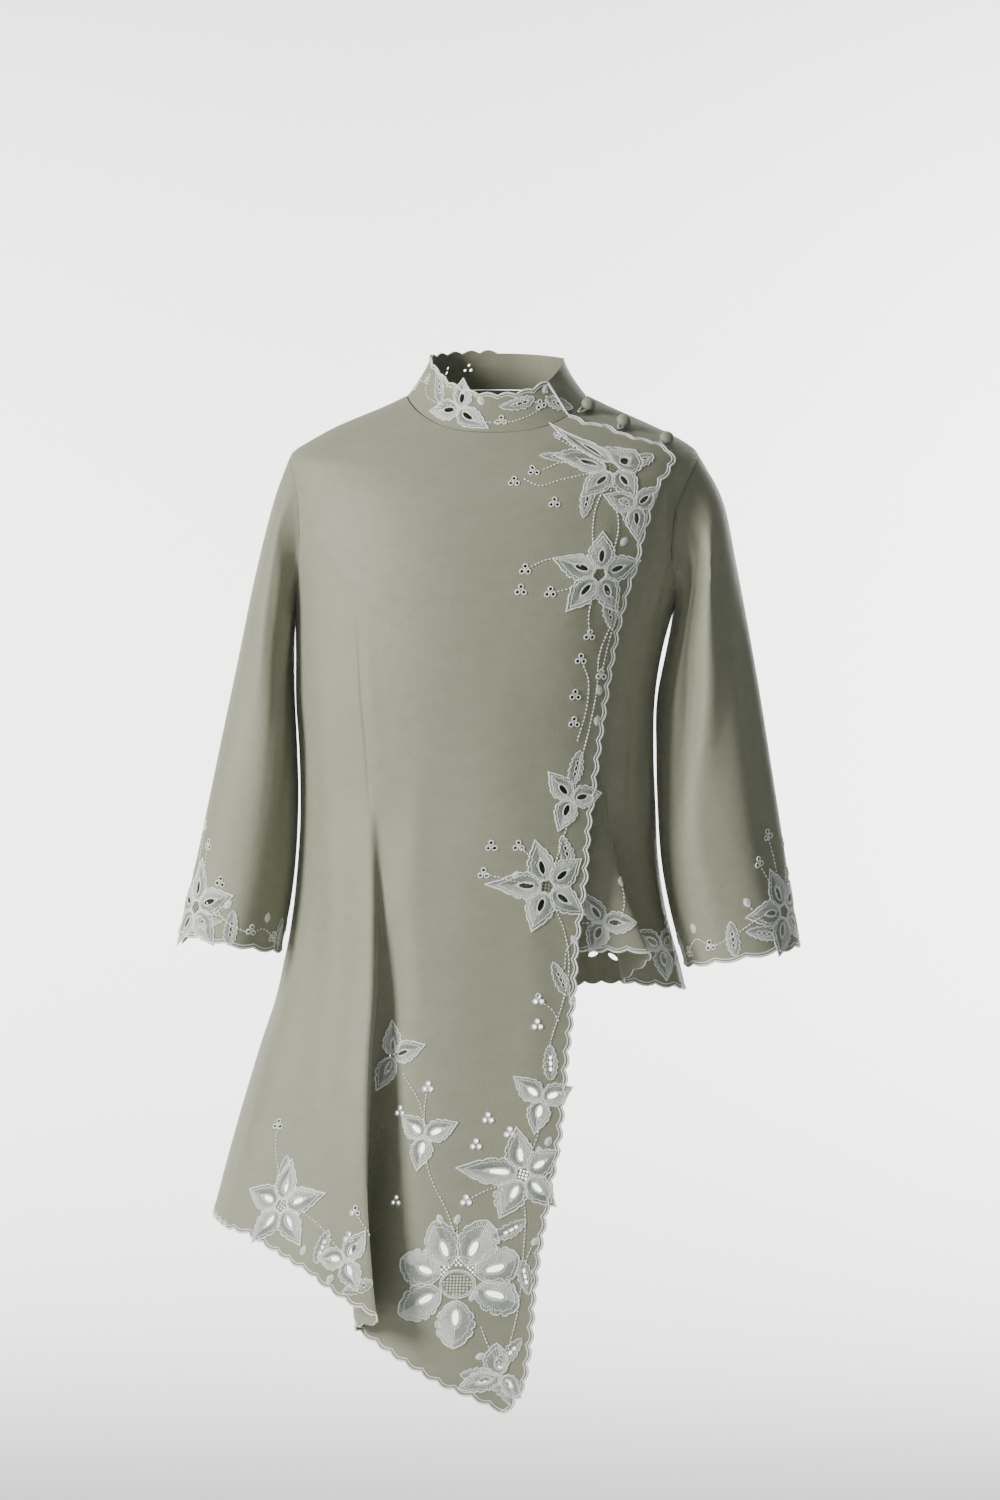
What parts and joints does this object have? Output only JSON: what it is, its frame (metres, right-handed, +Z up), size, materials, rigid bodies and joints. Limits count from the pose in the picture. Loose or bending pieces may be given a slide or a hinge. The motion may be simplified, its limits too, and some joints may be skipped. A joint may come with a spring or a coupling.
{
  "type": "asymmetric wrap jacket",
  "caption": "Asymmetric wrap jacket with a stand collar, a long pointed front that buttons at the shoulder, wide sleeves and scalloped cutwork edges.",
  "frame": {"origin": "middle of the neck at shoulder height, where the wearer holds the jacket up", "axes": "+Z up, the wearer faces -Y, the wearer's right side is at -X"},
  "size_m": [0.5839, 0.2838, 0.9908],
  "materials": {
    "cloth": "soft satin cotton"
  },
  "bodies": {
    "root": {"over_front": "cloth", "under_front": "cloth", "back": "cloth", "right_sleeve_front": "cloth", "right_sleeve_back": "cloth", "left_sleeve_front": "cloth", "left_sleeve_back": "cloth", "over_collar": "cloth", "under_collar": "cloth", "button_1": "cloth", "loop_1": "cloth", "button_2": "cloth", "loop_2": "cloth", "button_3": "cloth", "loop_3": "cloth"}
  },
  "joints": []
}
